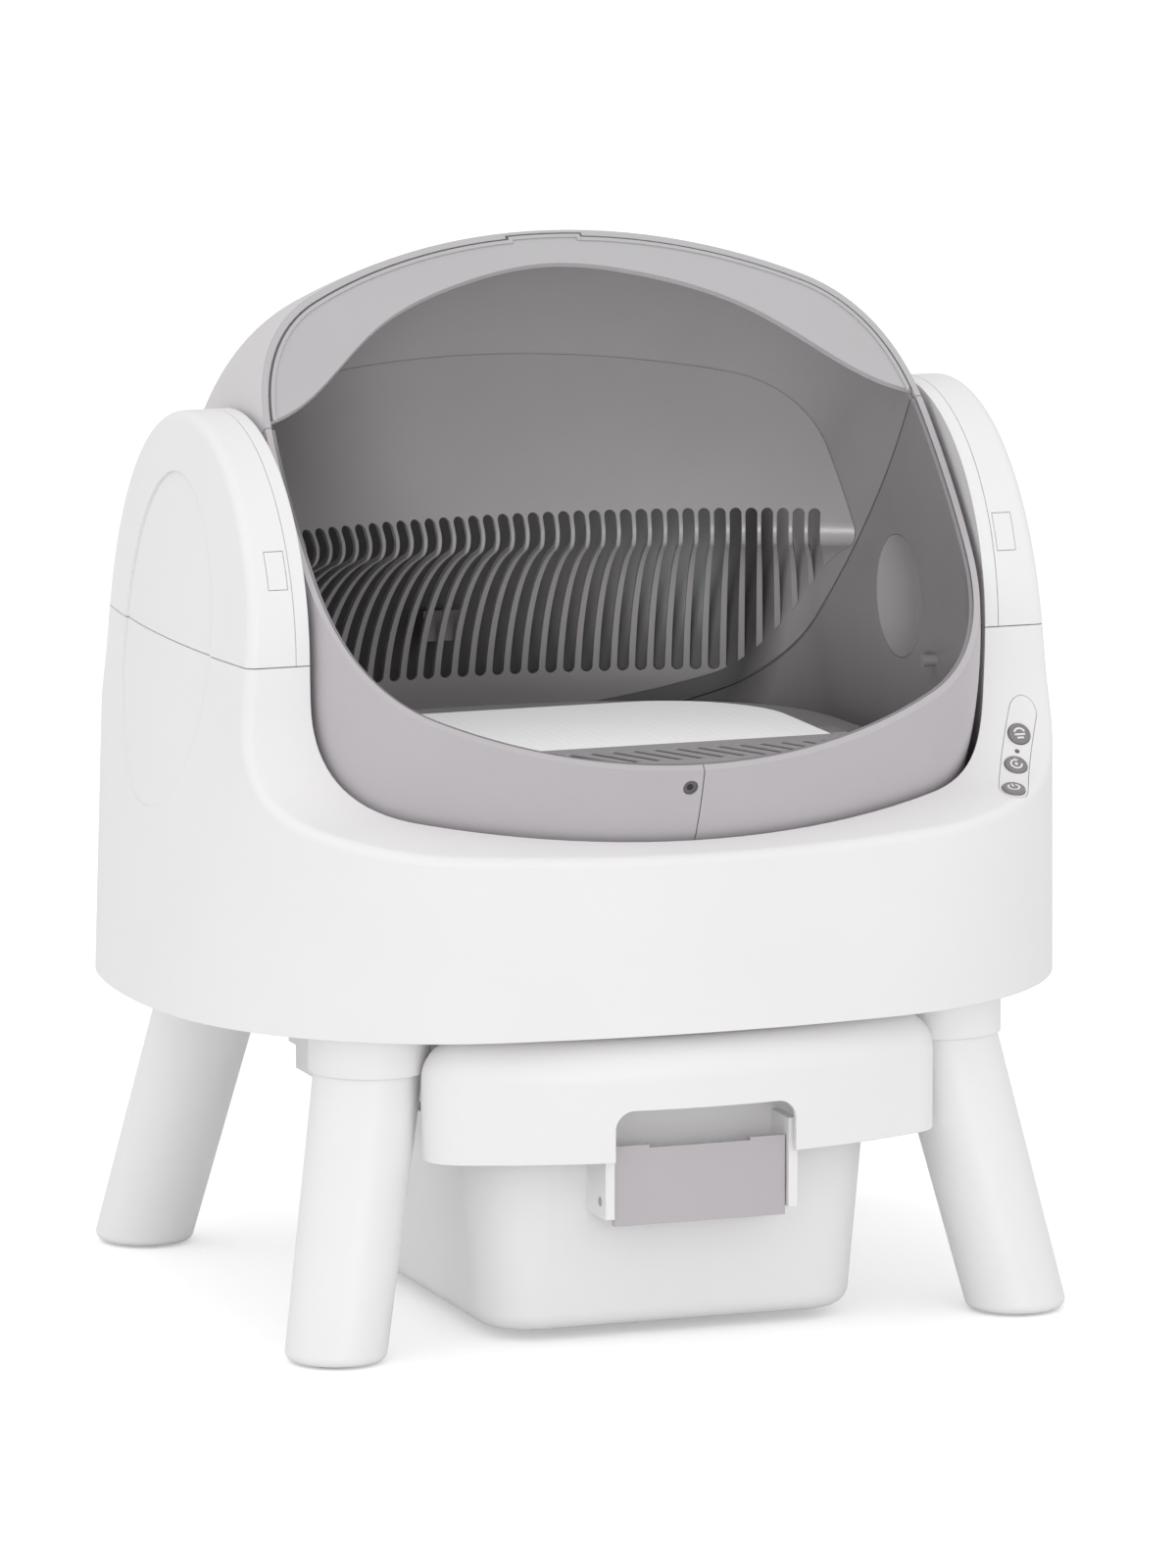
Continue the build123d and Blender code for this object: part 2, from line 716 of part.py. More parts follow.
# Latch tab behind the sieve
throat_center = throat.arc_center
latch_low_z = latch_z - latch_height / 2
throat_back = sieve_throat_radius + sieve_wall / 2
latch_y = throat_center.X + sqrt(throat_back**2 - (latch_low_z - throat_center.Y) ** 2) + fit_gap
with BuildPart() as sieve_latch:
    with Locations((latch_x, latch_y + latch_depth / 2, latch_z)):
        Box(latch_width, latch_depth, latch_height)
sieve_latch.part.label = "sieve_latch"
export_step(sieve_latch.part, "parts/sieve_latch.step")

# Floor: tray across the drum, mat with clips, slotted front step
with BuildPart() as floor_tray:
    add(drum_content)
    split(bisect_by=Plane.XY.offset(tray_top_z), keep=Keep.BOTTOM)
    split(bisect_by=Plane.XY.offset(tray_top_z - tray_thickness), keep=Keep.TOP)
floor_tray.part.label = "floor_tray"
export_step(floor_tray.part, "parts/floor_tray.step")

mat_front_y = step_rear_y + seam_gap
with BuildPart() as floor_mat:
    with BuildSketch(Plane.XY.offset(tray_top_z)) as mat_plan:
        with Locations((0, (mat_front_y + mat_rear_y) / 2)):
            Rectangle(2 * mat_half_width, mat_rear_y - mat_front_y)
        fillet(mat_plan.vertices().sort_by(Axis.Y)[-2:], mat_corner_radius)
    extrude(amount=mat_thickness)
floor_mat.part.label = "floor_mat"
export_step(floor_mat.part, "parts/floor_mat.step")

clip_x = mat_half_width + fit_gap + clip_width / 2
with BuildPart() as mat_clips:
    with BuildSketch(Plane.XY.offset(tray_top_z)):
        with Locations((-clip_x, clip_y), (clip_x, clip_y), (-clip_x, -2 * clip_y), (clip_x, -2 * clip_y)):
            Rectangle(clip_width, clip_length)
    extrude(amount=clip_height)
mat_clips.part.label = "mat_clips"
export_step(mat_clips.part, "parts/mat_clips.step")

with BuildPart() as step_grille:
    add(drum_content)
    split(bisect_by=Plane.XY.offset(tray_top_z), keep=Keep.TOP)
    split(bisect_by=Plane.XY.offset(step_z), keep=Keep.BOTTOM)
    split(bisect_by=Plane.XZ.offset(-step_rear_y), keep=Keep.TOP)
    with BuildSketch(Plane.XY):
        with Locations((0, step_rear_y - step_wall - drum_radius / 2)):
            Rectangle(2 * drum_half_width, drum_radius)
    extrude(amount=step_z - step_wall, mode=Mode.SUBTRACT)
    with BuildSketch(Plane.XY.offset(step_z)):
        with Locations((0, step_slot_y)):
            with GridLocations(step_slot_pitch, 0, step_slot_count, 1):
                Rectangle(step_slot_width, step_slot_length, rotation=step_slot_angle)
    extrude(amount=-2 * step_wall, mode=Mode.SUBTRACT)
step_grille.part.label = "step_grille"
export_step(step_grille.part, "parts/step_grille.step")

# Screw in the front of the bowl
with BuildPart() as front_screw:
    with BuildSketch(screw_plane):
        Circle(screw_radius)
    extrude(amount=-screw_length)
front_screw.part.label = "front_screw"
export_step(front_screw.part, "parts/front_screw.step")

# Trunnions: dished hub, flange against the flank, and shaft
gear_start_x = bush_start_x + bush_length + gear_side_gap
gear_end_x = gear_start_x + gear_width
hub_face_x = flank_x(liner_inside, hub_radius)
flange_face_x = drum_half_width + hub_flange_rise
dish_radius = (hub_radius**2 + hub_dish_depth**2) / (2 * hub_dish_depth)
left_plane = side_plane(-1)
with BuildPart() as trunnion_left:
    with BuildSketch(left_plane.offset(hub_face_x)):
        Circle(hub_flange_radius)
    extrude(amount=flange_face_x - hub_face_x)
    add(drum_blank(-fit_gap), mode=Mode.SUBTRACT)
    with BuildSketch(left_plane.offset(hub_face_x)):
        Circle(hub_radius)
    extrude(amount=flange_face_x - hub_face_x)
    with Locations((dish_radius - hub_face_x - hub_dish_depth, 0, pivot_z)):
        Sphere(dish_radius, mode=Mode.SUBTRACT)
    with BuildSketch(left_plane.offset(flange_face_x)):
        Circle(shaft_radius)
    extrude(amount=gear_start_x - flange_face_x)
trunnion_left.part.label = "trunnion_left"
export_step(trunnion_left.part, "parts/trunnion_left.step")

with BuildPart() as trunnion_right:
    add(trunnion_left.part)
    mirror(about=Plane.YZ, mode=Mode.REPLACE)
    with BuildSketch(pivot_plane.offset(gear_start_x)):
        Circle(shaft_radius)
    extrude(amount=gear_width + shaft_overhang)
trunnion_right.part.label = "trunnion_right"
export_step(trunnion_right.part, "parts/trunnion_right.step")

# Drive: drum gear and pinion, with a gap of the gear over a tooth of the pinion
pinion_drop = gear_module * (gear_teeth + pinion_teeth) / 2 + gear_backlash
pinion_plane = Plane(origin=(gear_start_x, 0, pivot_z - pinion_drop), x_dir=(0, 1, 0), z_dir=(1, 0, 0))


def spur_gear(plane, teeth, start_angle):
    """A straight-toothed gear drawn on a plane, as one solid."""
    pitch_radius = gear_module * teeth / 2
    root = pitch_radius - gear_module * tooth_root_share
    tip = pitch_radius + gear_module * tooth_height_share
    root_half = pi * gear_module * tooth_root_width_share / 2
    tip_half = pi * gear_module * tooth_tip_width_share / 2
    with BuildPart() as gear:
        with BuildSketch(plane):
            Circle(root)
            with PolarLocations(0, teeth, start_angle):
                Polygon(
                    (0, -root_half),
                    (root, -root_half),
                    (tip, -tip_half),
                    (tip, tip_half),
                    (root, root_half),
                    (0, root_half),
                    align=None,
                )
        extrude(amount=gear_width)
    return gear.part


with BuildPart() as drum_gear:
    add(spur_gear(pivot_plane.offset(gear_start_x), gear_teeth, 180 / gear_teeth - 90))
    with BuildSketch(pivot_plane):
        Circle(shaft_radius + running_gap)
    extrude(amount=base_half_width, mode=Mode.SUBTRACT)
drum_gear.part.label = "drum_gear"
export_step(drum_gear.part, "parts/drum_gear.step")

pinion_reach = gear_side_gap + motor_cheek
with BuildPart() as pinion:
    add(spur_gear(pinion_plane, pinion_teeth, 90))
    with BuildSketch(pinion_plane.offset(-pinion_reach)):
        Circle(pinion_shaft_radius)
    extrude(amount=gear_width + 2 * pinion_reach)
pinion.part.label = "pinion"
export_step(pinion.part, "parts/pinion.step")

# Gear motor: block with two cheeks for the pinion shaft, can below, posts to the well
motor_start_x = gear_start_x - pinion_reach
motor_center = (motor_start_x + motor_width / 2, 0)
with BuildPart() as gear_motor:
    with BuildSketch(Plane.XY.offset(motor_top_z)):
        with Locations(motor_center):
            Rectangle(motor_width, motor_depth)
    extrude(amount=-motor_height)
    with BuildSketch(Plane.XY.offset(motor_top_z - motor_height)):
        with Locations(motor_center):
            Circle(motor_can_radius)
    extrude(amount=-motor_can_length)
    for start in (-pinion_reach, gear_width + gear_side_gap):
        with BuildSketch(pinion_plane.offset(start)):
            SlotCenterPoint((0, -pinion_drop / 2), (0, 0), 2 * motor_cheek_radius)
        extrude(amount=motor_cheek)
    with BuildSketch(pinion_plane.offset(-pinion_reach)):
        with Locations((0, motor_top_z - motor_height / 2 - pinion_plane.origin.Z)):
            with GridLocations(motor_post_pitch, motor_post_pitch, 2, 2):
                Circle(motor_post_radius)
    extrude(amount=-motor_post_length)
    add(drum_blank(-well_outside - fit_gap), mode=Mode.SUBTRACT)
    with BuildSketch(pinion_plane.offset(-motor_post_length)):
        Circle(pinion_shaft_radius + running_gap)
    extrude(amount=2 * motor_post_length, mode=Mode.SUBTRACT)
gear_motor.part.label = "gear_motor"
export_step(gear_motor.part, "parts/gear_motor.step")


# Legs with sockets and pads
def leg_axis(x_sign, y_sign, z):
    """Where the leg's axis lies at a height."""
    share = (z - leg_foot_z) / (leg_top_z - leg_foot_z)
    x = foot_x + (leg_top_x - foot_x) * share
    y = foot_y + (leg_top_y - foot_y) * share
    return (x_sign * x, y_sign * y)


def leg_blank(x_sign, y_sign, margin):
    """The leg as a solid, grown by margin."""
    with BuildPart() as blank:
        with BuildSketch(Plane.XY.offset(leg_foot_z)):
            with Locations(leg_axis(x_sign, y_sign, leg_foot_z)):
                Circle(leg_foot_radius + margin)
        with BuildSketch(Plane.XY.offset(leg_top_z)):
            with Locations(leg_axis(x_sign, y_sign, leg_top_z)):
                Circle(leg_top_radius + margin)
        loft()
    return blank.part


corners = (("front_left", -1, -1), ("front_right", 1, -1), ("rear_left", -1, 1), ("rear_right", 1, 1))
socket_bottom_z = base_bottom_z - socket_height
for name, x_sign, y_sign in corners:
    foot_point = leg_axis(x_sign, y_sign, leg_foot_z)
    with BuildPart() as hollow:
        add(leg_blank(x_sign, y_sign, -leg_wall))
        split(bisect_by=Plane.XY.offset(leg_foot_z + leg_floor), keep=Keep.TOP)
    with BuildPart() as leg:
        add(leg_blank(x_sign, y_sign, 0))
        fillet(leg.edges().sort_by(Axis.Z)[0], leg_foot_fillet)
        add(hollow.part, mode=Mode.SUBTRACT)
        with BuildSketch(Plane.XY):
            with Locations(foot_point):
                Circle(pad_radius + fit_gap)
        extrude(amount=pad_thickness, mode=Mode.SUBTRACT)
    leg.part.label = f"leg_{name}"
    export_step(leg.part, f"parts/leg_{name}.step")
    with BuildPart() as socket:
        with BuildSketch(Plane.XY.offset(socket_bottom_z)):
            with Locations(leg_axis(x_sign, y_sign, (socket_bottom_z + leg_top_z) / 2)):
                Circle(socket_radius)
        extrude(amount=socket_height)
        add(leg_blank(x_sign, y_sign, fit_gap), mode=Mode.SUBTRACT)
    socket.part.label = f"leg_socket_{name}"
    export_step(socket.part, f"parts/leg_socket_{name}.step")

with BuildPart() as foot_pads:
    with BuildSketch(Plane.XY):
        with GridLocations(2 * foot_x, 2 * foot_y, 2, 2):
            Circle(pad_radius)
    extrude(amount=pad_thickness)
foot_pads.part.label = "foot_pads"
export_step(foot_pads.part, "parts/foot_pads.step")


# Waste drawer
def tub_blank(inset, bottom_z):
    """The tub as a drafted solid from its bottom to its rim, drawn in by inset."""
    with BuildPart() as blank:
        with BuildSketch(Plane.XY.offset(bottom_z)):
            with Locations((0, (bin_front_y + bin_rear_y) / 2)):
                RectangleRounded(
                    2 * (bin_half_width - inset),
                    bin_rear_y - bin_front_y - 2 * inset,
                    bin_corner_radius - inset,
                )
        extrude(amount=bin_top_z - bottom_z, taper=bin_draft_angle)
        fillet(blank.edges().group_by(Axis.Z)[0], bin_edge_radius - inset)
    return blank.part


ear_x = flap_width / 2 + flap_side_gap + ear_thickness / 2
ear_front_y = pin_y - ear_radius
ear_bottom_z = pin_z - ear_radius
pin_plane = Plane(origin=(0, pin_y, pin_z), x_dir=(0, 1, 0), z_dir=(1, 0, 0))
flange_depth = bin_rear_y - bin_flange_front_y
with BuildPart() as waste_bin:
    add(tub_blank(0, bin_bottom_z))
    with BuildSketch(Plane.XY.offset(bin_top_z)):
        with Locations((0, bin_flange_front_y + flange_depth / 2)):
            RectangleRounded(2 * bin_flange_half_width, flange_depth, bin_corner_radius)
    extrude(amount=-bin_flange_thickness)
    for sign in (-1, 1):
        with BuildSketch(Plane.YZ.offset(sign * ear_x)) as ear:
            with Locations(((ear_front_y + bin_front_y) / 2, (ear_bottom_z + ear_top_z) / 2)):
                Rectangle(bin_front_y - ear_front_y, ear_top_z - ear_bottom_z)
            fillet(ear.vertices().group_by(Axis.Y)[0].sort_by(Axis.Z)[0], ear_radius - fit_gap)
        extrude(amount=ear_thickness / 2, both=True)
    with BuildSketch(pin_plane):
        Circle(pin_radius + running_gap)
    extrude(amount=flap_width, both=True, mode=Mode.SUBTRACT)
    add(tub_blank(bin_wall, bin_bottom_z + bin_wall), mode=Mode.SUBTRACT)
waste_bin.part.label = "waste_bin"
export_step(waste_bin.part, "parts/waste_bin.step")

with BuildPart() as bin_feet:
    with BuildSketch(Plane.XY):
        with Locations((0, (bin_front_y + bin_rear_y) / 2)):
            with GridLocations(
                2 * (bin_half_width - bin_foot_inset),
                bin_rear_y - bin_front_y - 2 * bin_foot_inset,
                2,
                2,
            ):
                Circle(bin_foot_radius)
    extrude(amount=bin_bottom_z)
bin_feet.part.label = "bin_feet"
export_step(bin_feet.part, "parts/bin_feet.step")


def fascia_blank(inset, rear_y, bottom_z):
    """The bowed front of the collar as a solid, drawn in by inset."""
    half_width = collar_half_width - inset
    shoulder = collar_shoulder_y
    with BuildPart() as blank:
        with BuildSketch(Plane.XY.offset(bottom_z)) as plan:
            with BuildLine():
                ThreePointArc((-half_width, shoulder), (0, collar_front_y + inset), (half_width, shoulder))
                Line((half_width, shoulder), (half_width, rear_y))
                Line((half_width, rear_y), (-half_width, rear_y))
                Line((-half_width, rear_y), (-half_width, shoulder))
            make_face()
            fillet(plan.vertices().sort_by(Axis.Y)[:2], collar_corner_radius - inset)
        extrude(amount=collar_top_z - inset - bottom_z)
        rim = blank.edges().group_by(Axis.Z)[-1].sort_by(Axis.Y)[:-1]
        fillet(rim, collar_top_radius - inset)
    return blank.part


def carrier_blank(inset, rear_y, bottom_z):
    """The straight part of the collar that runs between the rails, drawn in by inset."""
    with BuildPart() as blank:
        with BuildSketch(Plane.XY.offset(bottom_z)):
            with Locations((0, (carrier_front_y + rear_y) / 2)):
                Rectangle(2 * (carrier_half_width - inset), rear_y - carrier_front_y)
        extrude(amount=collar_top_z - inset - bottom_z)
        fillet(blank.edges().filter_by(Axis.Y).group_by(Axis.Z)[-1], carrier_top_radius - inset)
    return blank.part


ledge_bottom_z = bin_top_z
groove_floor_x = carrier_half_width - groove_depth
rib_width = groove_depth + groove_rib
carrier_length = carrier_rear_y - fascia_rear_y
with BuildPart() as collar_solid:
    add(fascia_blank(0, fascia_rear_y, collar_bottom_z))
    add(carrier_blank(0, carrier_rear_y, collar_bottom_z))
with BuildPart() as ledge:
    add(collar_solid.part)
    split(bisect_by=Plane.XY.offset(ledge_bottom_z), keep=Keep.TOP)
    split(bisect_by=Plane.XY.offset(ledge_bottom_z + ledge_thickness), keep=Keep.BOTTOM)
    with BuildSketch(Plane.XY):
        with Locations((0, carrier_rear_y)):
            Rectangle(2 * mouth_half_width, 2 * (carrier_rear_y - ledge_front_y))
    extrude(amount=collar_top_z, mode=Mode.SUBTRACT)
with BuildPart() as bin_collar:
    add(collar_solid.part)
    add(fascia_blank(collar_wall, fascia_rear_y - collar_wall, collar_bottom_z - overrun), mode=Mode.SUBTRACT)
    add(carrier_blank(collar_wall, carrier_rear_y + overrun, collar_bottom_z - overrun), mode=Mode.SUBTRACT)
    with BuildSketch(Plane.XY.offset(collar_bottom_z)):
        with Locations((0, carrier_rear_y)):
            Rectangle(2 * mouth_half_width, 2 * (carrier_rear_y - mouth_front_y))
    extrude(amount=collar_top_z, mode=Mode.SUBTRACT)
    add(ledge.part)
    with BuildSketch(Plane.XZ.offset(-carrier_rear_y)):
        rib_x = carrier_half_width - rib_width / 2
        with Locations((-rib_x, groove_z), (rib_x, groove_z)):
            Rectangle(rib_width, groove_height + 2 * groove_rib)
    extrude(amount=carrier_length)
    with BuildSketch(Plane.XZ.offset(-carrier_rear_y)):
        with Locations((-carrier_half_width, groove_z), (carrier_half_width, groove_z)):
            Rectangle(2 * groove_depth, groove_height)
    extrude(amount=rail_length + overrun, mode=Mode.SUBTRACT)
    with BuildSketch(Plane.XZ.offset(-ledge_front_y)) as cutout:
        with Locations((0, cutout_top_z / 2)):
            Rectangle(cutout_width, cutout_top_z)
        fillet(cutout.vertices().group_by(Axis.Y)[-1], cutout_corner_radius)
    extrude(amount=ledge_front_y - collar_front_y + overrun, mode=Mode.SUBTRACT)
bin_collar.part.label = "bin_collar"
export_step(bin_collar.part, "parts/bin_collar.step")

# Rails under the base that hold the collar's grooves
rail_x = carrier_half_width + rail_clearance
lip_half = groove_height / 2 - rail_clearance
for name, sign in sides:
    with BuildPart() as rail:
        with BuildSketch(Plane.XZ.offset(-rail_length / 2)):
            Polygon(
                (sign * rail_x, base_bottom_z),
                (sign * (rail_x + rail_web), base_bottom_z),
                (sign * (rail_x + rail_web), groove_z - lip_half),
                (sign * (rail_x - rail_lip), groove_z - lip_half),
                (sign * (rail_x - rail_lip), groove_z + lip_half),
                (sign * rail_x, groove_z + lip_half),
                align=None,
            )
        extrude(amount=rail_length)
    rail.part.label = f"drawer_rail_{name}"
    export_step(rail.part, f"parts/drawer_rail_{name}.step")

# Latch flap on its pin
with BuildPart() as latch_pin:
    with BuildSketch(pin_plane):
        Circle(pin_radius)
    extrude(amount=ear_x + ear_thickness / 2, both=True)
latch_pin.part.label = "latch_pin"
export_step(latch_pin.part, "parts/latch_pin.step")

flap_middle_y = pin_y - flap_offset
with BuildPart() as latch_flap:
    with BuildSketch(Plane.XZ.offset(-flap_middle_y - flap_thickness / 2)) as face:
        with Locations((0, (flap_bottom_z + flap_top_z) / 2)):
            Rectangle(flap_width, flap_top_z - flap_bottom_z)
        with Locations((0, flap_top_z)):
            Rectangle(flap_notch_width, 2 * flap_notch_depth, mode=Mode.SUBTRACT)
    extrude(amount=flap_thickness)
    with BuildSketch(pin_plane):
        Circle(flap_barrel_radius)
    extrude(amount=flap_width / 2, both=True)
    with BuildSketch(pin_plane):
        Circle(pin_radius + running_gap)
    extrude(amount=flap_width, both=True, mode=Mode.SUBTRACT)
latch_flap.part.label = "latch_flap"
export_step(latch_flap.part, "parts/latch_flap.step")
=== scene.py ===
import json
from math import cos, radians, sin

import bmesh
import bpy
from mathutils import Matrix, Vector


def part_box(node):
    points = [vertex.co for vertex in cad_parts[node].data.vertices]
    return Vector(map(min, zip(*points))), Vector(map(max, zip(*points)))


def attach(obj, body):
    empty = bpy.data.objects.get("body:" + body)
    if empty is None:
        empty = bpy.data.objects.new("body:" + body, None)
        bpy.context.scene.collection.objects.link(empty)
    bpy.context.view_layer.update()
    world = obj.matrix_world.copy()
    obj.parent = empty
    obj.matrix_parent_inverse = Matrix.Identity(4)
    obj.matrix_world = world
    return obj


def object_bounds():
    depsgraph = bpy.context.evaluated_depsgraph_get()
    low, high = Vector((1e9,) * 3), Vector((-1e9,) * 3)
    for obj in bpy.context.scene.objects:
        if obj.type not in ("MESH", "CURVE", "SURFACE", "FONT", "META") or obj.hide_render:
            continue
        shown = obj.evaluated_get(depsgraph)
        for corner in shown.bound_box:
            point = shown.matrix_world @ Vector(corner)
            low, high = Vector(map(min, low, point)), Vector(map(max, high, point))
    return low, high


# Self-cleaning litter box: finishes, small trim, stage, light and camera, in metres and the part's own frame
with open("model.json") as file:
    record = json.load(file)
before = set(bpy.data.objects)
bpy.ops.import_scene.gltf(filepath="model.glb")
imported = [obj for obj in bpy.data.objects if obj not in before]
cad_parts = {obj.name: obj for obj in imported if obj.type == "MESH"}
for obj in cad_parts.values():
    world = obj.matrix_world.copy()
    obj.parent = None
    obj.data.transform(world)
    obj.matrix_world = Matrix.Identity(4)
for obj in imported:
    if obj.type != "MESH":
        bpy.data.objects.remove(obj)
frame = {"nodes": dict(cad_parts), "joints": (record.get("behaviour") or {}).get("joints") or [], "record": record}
cad_low, cad_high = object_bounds()
nodes = frame["nodes"]
joints = {joint["name"]: joint for joint in frame["joints"]}
mm = 0.001
across = Vector((1, 0, 0))
rearward = Vector((0, 1, 0))
upward = Vector((0, 0, 1))

# The drum's axis, and its sloping rim as the largest front face of the visor gives it
pivot = Vector(joints["drum_turn"]["pos_m"])
visor_faces = nodes["visor"].data.polygons
visor_front = max(visor_faces, key=lambda face: face.area if face.normal.y < 0 < face.normal.z else 0)
rim_facing = visor_front.normal.copy()
rim_level = visor_front.center.dot(rim_facing)
rim_upward = Vector((0, rim_facing.z, -rim_facing.y))

# Sockets of a Mix node that mixes two colours
mix_first = 6
mix_second = 7
mix_result = 2


# Colours and nodes
def srgb(code):
    """A hex colour as linear red, green, blue and alpha."""
    parts = [int(code[i : i + 2], 16) / 255 for i in (1, 3, 5)]
    linear = [c / 12.92 if c <= 0.04045 else ((c + 0.055) / 1.055) ** 2.4 for c in parts]
    return (*linear, 1.0)


def add_node(tree, kind, inputs=(), **settings):
    """Adds one node, sets its properties, and fills or links its inputs."""
    node = tree.nodes.new(kind)
    for name, value in settings.items():
        setattr(node, name, value)
    for name, value in dict(inputs).items():
        if isinstance(value, bpy.types.NodeSocket):
            tree.links.new(value, node.inputs[name])
        else:
            node.inputs[name].default_value = value
    return node


def new_material(name, **sockets):
    """A material, its Principled shader with these plain sockets set, and the place on the piece."""
    material = bpy.data.materials.new(name)
    material.use_nodes = True
    tree = material.node_tree
    shader = tree.nodes["Principled BSDF"]
    for key, value in sockets.items():
        shader.inputs[key.replace("_", " ")].default_value = value
    place = add_node(tree, "ShaderNodeTexCoord").outputs["Object"]
    return material, tree, shader, place


def per_metre(size_mm):
    """Pattern scale that gives features of about this size."""
    return 1 / (size_mm * mm)


# Moulded plastics
flow_mm = 90
wear_mm = 28
gloss_spread = 0.05
edge_radius = 0.6 * mm


def moulded(name, light, dark, roughness, grain_mm, depth_mm, **sockets):
    """Injection-moulded plastic: a spark-eroded grain, slow changes of shade and gloss, and soft edges.

    The real grain is about 0.3 mm wide. It is drawn four to eight times as coarse, so that it shows.
    """
    material, tree, shader, place = new_material(name, IOR=1.53, **sockets)
    # Flow of the melt: broad, faint changes of shade
    flow = add_node(
        tree,
        "ShaderNodeTexNoise",
        {"Vector": place, "Scale": per_metre(flow_mm), "Detail": 3.0},
    )
    shade = add_node(
        tree,
        "ShaderNodeMix",
        {"Factor": flow.outputs["Fac"], mix_first: srgb(light), mix_second: srgb(dark)},
        data_type="RGBA",
    )
    tree.links.new(shade.outputs[mix_result], shader.inputs["Base Color"])
    # Handling and mould wear: patches a little glossier than the rest
    wear = add_node(
        tree,
        "ShaderNodeTexNoise",
        {"Vector": place, "Scale": per_metre(wear_mm), "Detail": 4.0},
    )
    gloss = add_node(
        tree,
        "ShaderNodeMapRange",
        {
            "Value": wear.outputs["Fac"],
            "To Min": roughness - gloss_spread,
            "To Max": roughness + gloss_spread,
        },
    )
    tree.links.new(gloss.outputs["Result"], shader.inputs["Roughness"])
    grain = add_node(
        tree,
        "ShaderNodeTexNoise",
        {"Vector": place, "Scale": per_metre(grain_mm), "Detail": 2.0},
    )
    soft_edge = add_node(tree, "ShaderNodeBevel", {"Radius": edge_radius}, samples=4)
    bump = add_node(
        tree,
        "ShaderNodeBump",
        {
            "Height": grain.outputs["Fac"],
            "Distance": depth_mm * mm,
            "Strength": 0.5,
            "Normal": soft_edge.outputs["Normal"],
        },
    )
    tree.links.new(bump.outputs["Normal"], shader.inputs["Normal"])
    return material


def shade_zone(material, colour, *limits):
    """Gives a plastic another colour in one zone, such as painted shade in a dark place.

    Each limit is a direction and two levels along it: where the zone begins, and where it is full.
    """
    tree = material.node_tree
    shader = tree.nodes["Principled BSDF"]
    place = add_node(tree, "ShaderNodeTexCoord").outputs["Object"]
    share = 1.0
    for direction, begins, full in limits:
        along = add_node(tree, "ShaderNodeVectorMath", {0: place, 1: direction}, operation="DOT_PRODUCT")
        fade = add_node(
            tree,
            "ShaderNodeMapRange",
            {"Value": along.outputs["Value"], "From Min": begins, "From Max": full},
        )
        product = add_node(
            tree,
            "ShaderNodeMath",
            {0: share, 1: fade.outputs["Result"]},
            operation="MULTIPLY",
        )
        share = product.outputs["Value"]
    plain = shader.inputs["Base Color"].links[0].from_socket
    shade = add_node(
        tree,
        "ShaderNodeMix",
        {"Factor": share, mix_first: plain, mix_second: srgb(colour)},
        data_type="RGBA",
    )
    tree.links.new(shade.outputs[mix_result], shader.inputs["Base Color"])


# White ABS of the housing, legs and drawer: fine satin grain, almost neutral.
white_abs = moulded("white_abs_satin", "#F6F5F5", "#F1F0F0", roughness=0.4, grain_mm=1.4, depth_mm=0.03)

# Mauve-grey ABS of the bowl and the flap: the same mould finish, a little smoother.
mauve_abs = moulded("mauve_abs_satin", "#C4BFC3", "#BBB6BA", roughness=0.38, grain_mm=1.4, depth_mm=0.03)

# Grey ABS of the visor, almost neutral.
visor_abs = moulded("visor_abs_satin", "#C2C0C2", "#BAB8BA", roughness=0.36, grain_mm=1.4, depth_mm=0.025)

# The dome over the bowl is a paler batch of the mauve ABS, and its rim is in the visor's grey.
dome_abs = moulded("pale_mauve_abs_satin", "#DAD6D9", "#D2CED1", roughness=0.38, grain_mm=1.4, depth_mm=0.03)
dome_rim = max(vertex.co.dot(rim_facing) for vertex in nodes["dome"].data.vertices)
rim_fade = 0.3 * mm
shade_zone(dome_abs, "#C0BEC0", (rim_facing, dome_rim - 2 * rim_fade, dome_rim - rim_fade))

# Dark grey polypropylene inside the drum: softer sheen and a slightly coarser grain, darker in the bowl.
dome_pp = moulded("dome_polypropylene", "#858284", "#7B787A", roughness=0.46, grain_mm=1.8, depth_mm=0.04)
bowl_pp = moulded("bowl_polypropylene", "#7A7779", "#706D6F", roughness=0.44, grain_mm=1.8, depth_mm=0.04)

# The waste chute behind the sieve and the sump under the front step lie in the dark: their shade is painted into
# the liners as a dark colour.
chute_rearward = (rearward, 155 * mm, 175 * mm)
chute_downward = (upward, 555 * mm, 545 * mm)
for plastic in (dome_pp, bowl_pp):
    shade_zone(plastic, "#343233", chute_rearward, chute_downward)
# Painted shade: the bowl liner under the front step is drawn darker still.
sump_forward = (rearward, -112 * mm, -118 * mm)
sump_downward = (upward, 356 * mm, 346 * mm)
shade_zone(bowl_pp, "#2C2A2B", sump_forward, sump_downward)

# The step is a paler batch of the dome liner's plastic; the shade inside its slots is painted on as a dark colour.
step_pp = moulded("step_polypropylene", "#8E8B8D", "#848183", roughness=0.46, grain_mm=1.8, depth_mm=0.04)
slots_forward = (rearward, -113.5 * mm, -114.5 * mm)
slots_downward = (upward, 356.6 * mm, 355.6 * mm)
shade_zone(step_pp, "#343233", slots_forward, slots_downward)

# The sieve, the floor tray and the mat clips have a finer grain and a little more sheen.
sieve_pp = moulded("sieve_polypropylene", "#848183", "#7A7779", roughness=0.42, grain_mm=1.6, depth_mm=0.035)

# The latch on the sieve is almost black.
latch_pp = moulded("latch_polypropylene", "#565455", "#4C4A4B", roughness=0.4, grain_mm=1.6, depth_mm=0.03)

# The trunnion dishes are of the same plastic from a polished mould, so they shine.
dish_pp = moulded(
    "polished_polypropylene",
    "#878486",
    "#7D7A7C",
    roughness=0.24,
    grain_mm=2.4,
    depth_mm=0.01,
)

